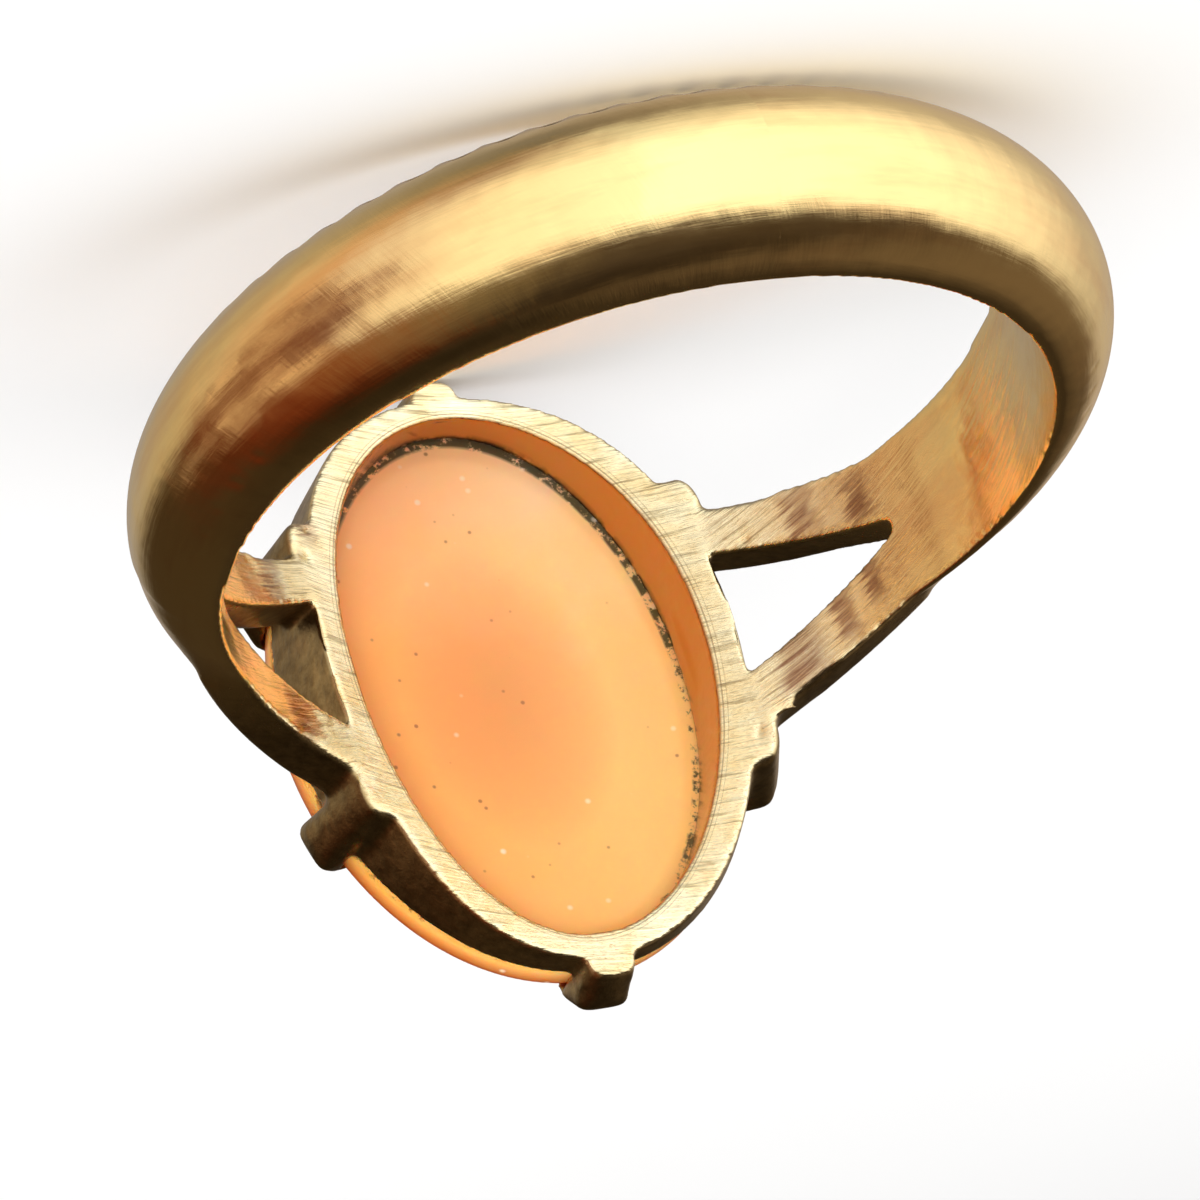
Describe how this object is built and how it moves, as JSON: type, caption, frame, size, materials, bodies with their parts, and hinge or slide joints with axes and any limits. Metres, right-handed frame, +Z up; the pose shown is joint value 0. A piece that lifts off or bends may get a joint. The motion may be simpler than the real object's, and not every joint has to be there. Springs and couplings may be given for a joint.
{
  "type": "cameo ring",
  "caption": "Finger ring with a domed band, split shoulders and an open-backed oval claw setting that holds a shell cameo carved with a raised rose.",
  "frame": {"origin": "middle of the ring's outline on the surface that it lies on", "axes": "+Z up from the surface, +X across the finger hole, -Y out of the face of the cameo, which leans 17.7 degrees"},
  "size_m": [0.0202, 0.0226, 0.015],
  "materials": {
    "gold": "polished outside, filed inside",
    "shell": "smooth, slightly translucent"
  },
  "bodies": {
    "root": {"ring_mount": "gold", "cameo": "shell"}
  },
  "joints": []
}
